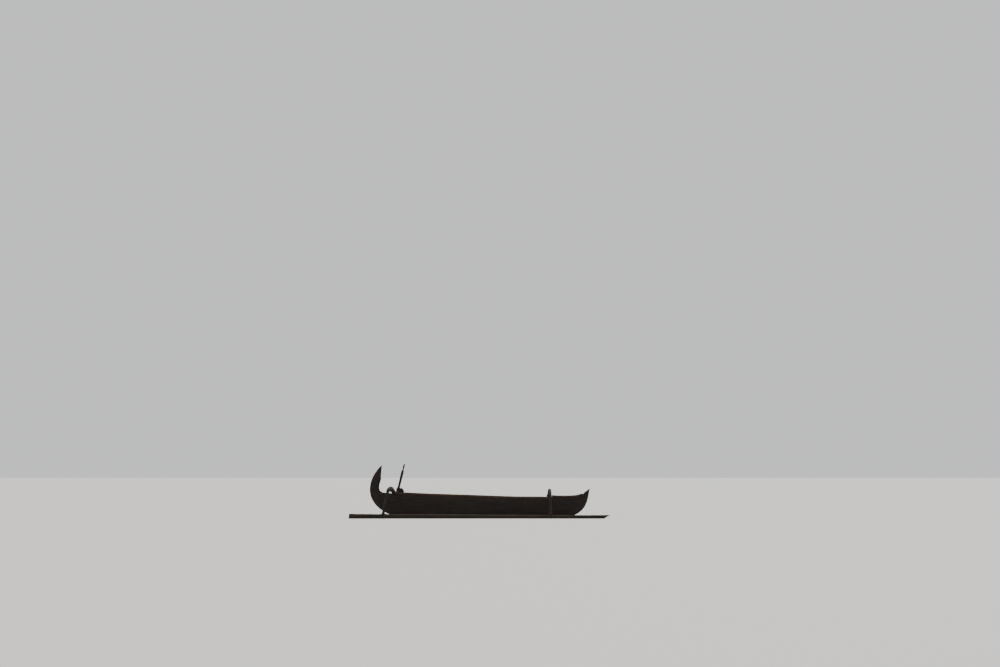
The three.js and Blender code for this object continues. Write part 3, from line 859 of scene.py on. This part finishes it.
def board(x0, wide, top, thick, rake=0.0, dish=0.0):
    """A board fitted between the hull's inner faces, its fibres athwartships."""
    section = box_section(wide, thick, BOARD_EDGE)
    t = np.sin(np.linspace(-np.pi / 2, np.pi / 2, 110))[:, None]
    z = np.repeat(top - thick / 2 + section[None, :, 1], len(t), 0)
    x = x0 + section[None, :, 0] + 0 * t
    for _ in range(3):
        y = t * (breadth(x, z) - WALL(z) - FIT)
        x = x0 + section[None, :, 0] + rake * y
    z = z - dish * np.cos(np.pi * t / 2) ** 2 * np.clip(section[None, :, 1] / (thick / 2), 0, 1)
    return skin(np.stack([x, y, z], -1), np.stack([y, x, z], -1))


def crook(x0, top):
    """A frame that follows the hull's inner face down one side, along the bottom and up the other."""
    side_z = np.linspace(top, HOLLOW_Z, 220)
    side_y = breadth(x0, side_z) - WALL(side_z) - FIT
    bottom_y = np.linspace(side_y[-1] * 0.98, 0, 60)
    half_line = np.stack([np.concatenate([side_y, bottom_y]),
                          np.concatenate([side_z, np.full(60, HOLLOW_Z)]) + FIT], -1)
    outline, run = by_length(np.vstack([half_line, (half_line * (-1, 1))[::-1][1:]]), 0.008)
    kernel = np.hanning(9) / np.hanning(9).sum()
    for k in range(2):
        outline[4:-4, k] = np.convolve(outline[:, k], kernel, "valid")
    direction = unit(np.gradient(outline, axis=0))
    inward = np.stack([direction[:, 1], -direction[:, 0]], -1)
    inward[:6], inward[-6:] = (-1, 0), (1, 0)
    section = box_section(FRAME_WIDE, FRAME_DEEP, FRAME_EDGE)
    depth = FRAME_DEEP / 2 + section[:, 1]
    flat = outline[:, None] + inward[:, None] * depth[None, :, None]
    same = 0 * flat[..., 0]
    rings = np.stack([x0 + section[None, :, 0] + same, flat[..., 0], np.minimum(flat[..., 1], top)], -1)
    return skin(rings, np.stack([run[:, None] + same, section[None, :, 0] + same, depth[None] + same], -1))


def peg(x, y, z, height, radius):
    """A wooden peg end standing a little proud, its top rounded."""
    profile = [(1, -0.006), (1, height - 0.0012), (0.86, height - 0.0003), (0.5, height), (0.1, height)]
    turn = round_steps(12)
    return skin([[(x + radius * r * math.cos(a), y + radius * r * math.sin(a), z + h) for a in turn]
                 for r, h in profile])


pegs = []
for _, sign in SIDES:
    for x in np.arange(-2.15, 1.9, 0.405):
        pegs.append(peg(x, sign * (breadth(x, 0.55) - 0.016), sheer_at(x) - 0.001, 0.0022, 0.0085))
for i, seat_x in enumerate(SEATS, 1):
    top = sheer_at(seat_x) - SEAT_DROP
    piece(f"thwart_{i}_board", [board(seat_x, SEAT_WIDE, top, SEAT_THICK, dish=0.003)], bare,
          f"thwart_{i}", rough=[(chafe, 0.0012)])
    piece(f"frame_{i}_crook", [crook(seat_x, top - SEAT_THICK - FIT)], bare, f"frame_{i}",
          rough=[(chafe, 0.0012)])
    for _, sign in SIDES[::-1]:
        for dx in (-0.05, 0.05):
            y = sign * (breadth(seat_x, top) - 0.065)
            pegs.append(peg(seat_x + dx, y, top - 0.001, 0.0018, 0.008))
for name, (x0, rake, _) in BOOMS.items():
    top = sheer_at(x0) - RAIL_DEEP - FIT
    piece(f"tie_beam_{name}_wood", [board(x0, 2 * TIE_HALF, top, TIE_DEEP, rake)], bare,
          f"tie_beam_{name}", rough=[(chafe, 0.0015)])
piece("trenails", pegs, bare)

# Cord
CORD_R = 0.0057
THIN_CORD_R = CORD_R * 0.95
SWAY = 0.0012
CORD_SHARP = 80
rng = np.random.default_rng(11)


def wound(loop, turns, span, place):
    """A closed loop (N, 2) wound round and round while it moves along by span; place maps (a, b, along) to a
    point."""
    loop = by_length(np.vstack([loop, loop[:1]]), 0.003)[0][:-1]
    count = int(len(loop) * turns)
    index = np.arange(count)
    along = span * (index / count - 0.5)
    sway = SWAY * noise(np.stack([index * 0.013, along, along], -1), 1.0, int(rng.integers(99)))
    return np.array([place(a, b, c + w) for (a, b), c, w in zip(loop[index % len(loop)], along, sway)])


def rounded_loop(corners, radius):
    """A loop through corners, each rounded; it starts in the middle of its last side."""
    corners = np.array(corners, float)
    line = []
    for k in range(len(corners)):
        here, back, on = corners[k], corners[k - 1], corners[(k + 1) % len(corners)]
        a = here + (back - here) / np.linalg.norm(back - here) * radius
        b = here + (on - here) / np.linalg.norm(on - here) * radius
        t = np.linspace(0, 1, 7)[:, None]
        line.append((1 - t) ** 2 * a + 2 * t * (1 - t) * here + t ** 2 * b)
    return np.vstack([[(corners[-1] + corners[0]) / 2]] + line)


def cord_piece(name, parts, node=None, material=cord, body="canoe"):
    piece(name, parts, material, node, body, sharp=CORD_SHARP)


def hull_lashing(x0, rake, stations):
    """Wraps round a boom and its tie beam, drawn together by turns between the two."""
    centre, r = stations[1][1], max(stations[2][2], TIE_HALF)
    reach = r + FIT + CORD_R
    top = rail_foot(x0)
    low = top - TIE_DEEP - CORD_R - 2 * FIT
    mid = (centre - r + top) / 2
    over_boom = on_circle(reach, np.pi * np.linspace(0, 1, 25)) + (0, centre)
    under = [(-reach, centre - 0.02), (-reach + 0.005, mid), (-reach, top - 0.012)]
    under += rounded_loop([(-reach, low), (reach, low), (reach, top), (-reach, top)], 0.01)[1:15].tolist()
    under += [(reach, top - 0.012), (reach - 0.005, mid), (reach, centre - 0.02)]
    scale = math.hypot(1, rake)

    def place(a, z, along):
        return (x0 + (a + rake * along) / scale, (along - rake * a) / scale, z)

    wraps = wound(np.vstack([over_boom, under]), 9.5, 0.1, place)
    belt_x, belt_y = reach + 0.006, 0.058
    belt = rounded_loop([(-belt_x, -belt_y), (belt_x, -belt_y), (belt_x, belt_y), (-belt_x, belt_y)], 0.014)
    frapping = wound(belt, 3.2, 0.026, lambda a, b, along: place(a, mid + along, b))
    return [rope(wraps, CORD_R), rope(frapping, THIN_CORD_R)]


def float_lashing(x0, rake, stations):
    """Hoops round the float on each side of a boom's foot, a spiral up the foot and crossed cords."""
    foot_x, foot_r = x0 + rake * stations[-1][0], stations[-1][2]
    _, log_r, log_z = FLOAT[np.searchsorted(FLOAT[:, 0], foot_x - 0.001)]
    log_top = log_z + log_r
    parts = []
    girth = on_circle(log_r + CORD_R - 0.001, round_steps(120))[:, ::-1]
    for sign in (-1, 1):
        shift = foot_x + sign * (foot_r + 0.02)
        hoops = wound(girth, 3.1, 0.033, lambda a, b, along: (shift + along, FLOAT_Y + a, log_z + b))
        parts.append(rope(hoops, CORD_R))

    line, radius, _, _, across, up = boom_line(x0, rake, stations)
    first = np.argmin(np.abs(line[:, 2] - (log_top + 0.062)) + (line[:, 1] > -1.5) * 9)
    spiral = []
    for t in np.linspace(0, 1, 240):
        i = first + (len(line) - 2 - first) * t
        at = np.array([np.interp(i, np.arange(len(line)), column) for column in line.T])
        r = np.interp(i, np.arange(len(line)), radius) + CORD_R * 0.9
        k, a = int(round(i)), 2 * np.pi * 5 * t
        spiral.append(at + r * (math.cos(a) * across[k] + math.sin(a) * up[k]))
    parts.append(rope(spiral, CORD_R))

    out = foot_r + CORD_R * 2.6
    for sign in (-1, 1):
        for lean in (-1, 1):
            y, z = sign * log_r * 0.62, -0.2 * log_r
            cross = [(-0.062 * lean, y, z - 0.012), (-0.05 * lean, y, z + 0.006),
                     (-0.026 * lean, sign * out * 0.95, 0.018),
                     (0, sign * out * 1.02 + 0.012 * (sign > 0), 0.034),
                     (0.03 * lean, sign * out * 0.75 + 0.018, 0.052), (0.04 * lean, 0.02, 0.056)]
            parts.append(rope(spline(cross, 60) + (foot_x, FLOAT_Y, log_top), THIN_CORD_R))
    return parts


for name, boom in BOOMS.items():
    cord_piece(f"lashing_hull_{name}_cord", hull_lashing(*boom), f"lashing_hull_{name}")
    cord_piece(f"lashing_float_{name}_cord", float_lashing(*boom), f"lashing_float_{name}")

# Stitches that sew the strakes to the log over a roll of coir.
STITCH_R = 0.0026
STITCH_STEP = 0.15
ROLL_R = 0.0068
# Along a stitch: its rise from the seam, and its distance out from the hull's skin and from the inner face.
STITCH_RISE = mm([-31, -27, -14, 0, 10, 20, 29, 34])
STITCH_OUTSIDE = mm([-10, 0.5, 2, 2, 1.5, -3, -7.5, -18])
STITCH_INSIDE = mm([10, -0.5, -2, -2, -2, -2, -0.5, 10])
seam_xs = np.arange(BLOCK_AFT + 0.004, BLOCK_FORE - 0.004, 0.01)
for side, sign in SIDES:
    z = seam_at(seam_xs) + 0.0075
    y = breadth(seam_xs, z) - STRAKE_INSET + 0.0005
    roll = rope(np.stack([seam_xs, sign * y, z], -1), ROLL_R, sides=8, strands=2, lay=9)
    cord_piece(f"seam_caulk_{side}", [roll], material=tarred_cord)
    stitches = []
    for x in np.arange(BLOCK_AFT + 0.1, BLOCK_FORE - 0.08, STITCH_STEP):
        for dx in (-0.007, 0.007):
            at = x + dx + rng.uniform(-0.0015, 0.0015)
            z = STITCH_RISE + seam_at(at)
            full, wall = breadth(at, z), WALL(z)
            for y in (full + STITCH_OUTSIDE, full - wall + STITCH_INSIDE):
                path = spline(np.stack([np.full(len(z), at), sign * y, z], -1), 40)
                stitches.append(rope(path, STITCH_R, sides=6, lay=7))
    cord_piece(f"seam_stitches_{side}", stitches)

# Steering oar and its crutch
OAR_PIVOT = np.array([-2.2545, 0.235, 0.71])
LEAN = math.radians(13.41)
OAR_X = np.array([math.cos(LEAN), 0, -math.sin(LEAN)])
OAR_Y = np.array([0, 1, 0])
OAR_S = np.array([math.sin(LEAN), 0, math.cos(LEAN)])
# Shaft radius, and the blade's half width, at each distance along the axis from the crutch.
SHAFT = mm([(-1040, 19), (-700, 26), (-60, 31), (130, 31), (298, 34.5), (439, 36), (524, 34.5), (556, 28),
            (575, 17), (612, 16), (630, 21.5), (665, 22.5), (690, 23), (715, 20), (742, 10), (752, 0.6)])
BLADE = mm([(-1422, 30), (-1400, 62), (-1330, 92), (-1150, 105), (-900, 96), (-770, 66), (-700, 30)])
SHAFT_END = -1.0401
SHAFT_SIDES = 28
BLADE_SIDES = 60
BLADE_THICK = 0.018
GROMMET_R = 0.0048
COLLAR_R = 0.0042
BINDING_R = 0.005


def oar_point(a, b, s):
    return OAR_PIVOT + a[..., None] * OAR_X + b[..., None] * OAR_Y + s[..., None] * OAR_S


def oar_piece(name, node, s_steps, a, b, depth):
    """A piece of the oar through rings of (a, b) at the distances s_steps."""
    s = s_steps[:, None] + 0 * a
    piece(name, [skin(oar_point(a, b, s), np.stack([s, a, b], -1))], carved, node,
          body="steering_oar", rough=[(chafe, depth)])


s_steps = np.concatenate([[-1.04, -1.0398, -1.038, -1.034], np.linspace(-1.028, 0.53, 210),
                          np.linspace(0.534, 0.752, 90)])
tip_in = rounded(np.clip((s_steps - SHAFT_END) / 0.012, 0, 1))
turn = round_steps(SHAFT_SIDES)
r = (smooth_line(SHAFT)(s_steps) * tip_in)[:, None]
oar_piece("oar_shaft_wood", "oar_shaft", s_steps, r * np.cos(turn), r * np.sin(turn), 0.0006)

s_steps = np.linspace(-0.7, -1.422, 130)
half = smooth_line(BLADE)(s_steps)[:, None]
turn = round_steps(BLADE_SIDES) + np.pi / BLADE_SIDES
flat = BLADE_THICK / 2 * squared(np.sin(turn), 0.75) + 0 * half
oar_piece("oar_blade_wood", "oar_blade", s_steps, half * np.cos(turn), flat, 0.0005)

# The collar: two layers of turns round the shaft, each with its radius, turns and span up the shaft.
parts = []
for r, turns, low, high in ((0.0356, 3.0, 0.0675, 0.0845), (0.0416, 2.0, 0.0715, 0.0805)):
    mid = (low + high) / 2
    coil = wound(on_circle(r, round_steps(90)), turns, high - low,
                 lambda p, q, along: OAR_PIVOT + p * OAR_X + q * OAR_Y + (mid + along) * OAR_S)
    parts.append(rope(coil, COLLAR_R))
cord_piece("oar_collar_cord", parts, "oar_collar", body="steering_oar")

# Cord that keeps the oar in its notch, and the wraps that bind the crutch to the boom.
GROMMET = mm([(-2205, 272), (-2212, 287), (-2235, 289.5), (-2270, 289.5), (-2287, 282), (-2294.5, 262),
              (-2294.5, 235), (-2294.5, 206), (-2287, 196), (-2272, 193)])
BINDING = mm([(-2289, 628), (-2289, 766), (-2135, 764), (-2090, 690), (-2090, 634), (-2190, 618),
              (-2250, 614)])
parts = [rope(spline([(x, y, rise) for x, y in GROMMET], 90), GROMMET_R) for rise in (0.7, 0.7105)]
for mid_y, turns, span in ((0.108, 2.2, 0.012), (0.196, 2.4, 0.014)):
    bind = wound(rounded_loop(BINDING, 0.012), turns, span, lambda p, q, along: (p, mid_y + along, q))
    parts.append(rope(bind, BINDING_R))
cord_piece("crutch_binding", parts)

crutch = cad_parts["oar_crutch"]
crutch.data.materials.clear()
crutch.data.materials.append(limb_plain)
bevel = crutch.modifiers.new("worn_edges", "BEVEL")
bevel.width = 0.003
bevel.segments = 2
bevel.limit_method = "ANGLE"
bevel.angle_limit = math.radians(40)

# Floor and light

# The floor lies at the waterline and is open inside the hull, down to the bottom of the hollow.
FAR = 9000.0
NEAR = 12.0
INTO_ENDS = 0.02
xs = np.linspace(hollow_aft(0.0) - INTO_ENDS, hollow_fore(0.0) + INTO_ENDS, 90)
halves = breadth(xs, 0.0) - WALL(0.0) / 2
port = [(xs[0], 0), *zip(xs, halves), (xs[-1], 0)]
starboard = [(x, -y) for x, y in port]
near = [(-NEAR, -NEAR), (NEAR, -NEAR), (NEAR, NEAR), (-NEAR, NEAR)]
far = [(x / NEAR * FAR, y / NEAR * FAR) for x, y in near]
outlines = [
    [(-NEAR, 0), *port, (NEAR, 0), near[2], near[3]],
    [(NEAR, 0), *starboard[::-1], (-NEAR, 0), near[0], near[1]],
    [far[0], far[1], near[1], near[0]],
    [far[1], far[2], near[2], (NEAR, 0), near[1]],
    [far[2], far[3], near[3], near[2]],
    [far[3], far[0], near[0], (-NEAR, 0), near[3]],
]
places = {}
faces = [[places.setdefault((float(x), float(y)), len(places)) for x, y in outline] for outline in outlines]
floor_mesh = bpy.data.meshes.new("floor")
floor_mesh.from_pydata([(x, y, 0) for x, y in places], [], faces)
floor = put("floor", floor_mesh)
g = Graph("floor")
g.join((0.78, 0.77, 0.75), g.shader.inputs["Base Color"])
g.join(0.9, g.shader.inputs["Roughness"])
floor_mesh.materials.append(g.material)

world = bpy.data.worlds.new("world")
world.use_nodes = True
background = world.node_tree.nodes["Background"]
background.inputs["Color"].default_value = (0.92, 0.93, 0.95, 1.0)
background.inputs["Strength"].default_value = 0.85
bpy.context.scene.world = world


def soft_sun(name, azimuth, height, strength, spread, colour):
    """A broad, distant light from a compass angle (0 is +X, 90 is +Y) and a height, in degrees."""
    data = bpy.data.lights.new(name, "SUN")
    data.energy = strength
    data.angle = math.radians(spread)
    data.color = colour
    a, h = math.radians(azimuth), math.radians(height)
    toward = Vector((math.cos(a) * math.cos(h), math.sin(a) * math.cos(h), math.sin(h)))
    put(name, data).rotation_euler = toward.to_track_quat("Z", "Y").to_euler()


soft_sun("key", 230, 48, 1.3, 35, (1.0, 0.97, 0.93))
soft_sun("back", 75, 35, 1.2, 30, (1.0, 0.95, 0.88))
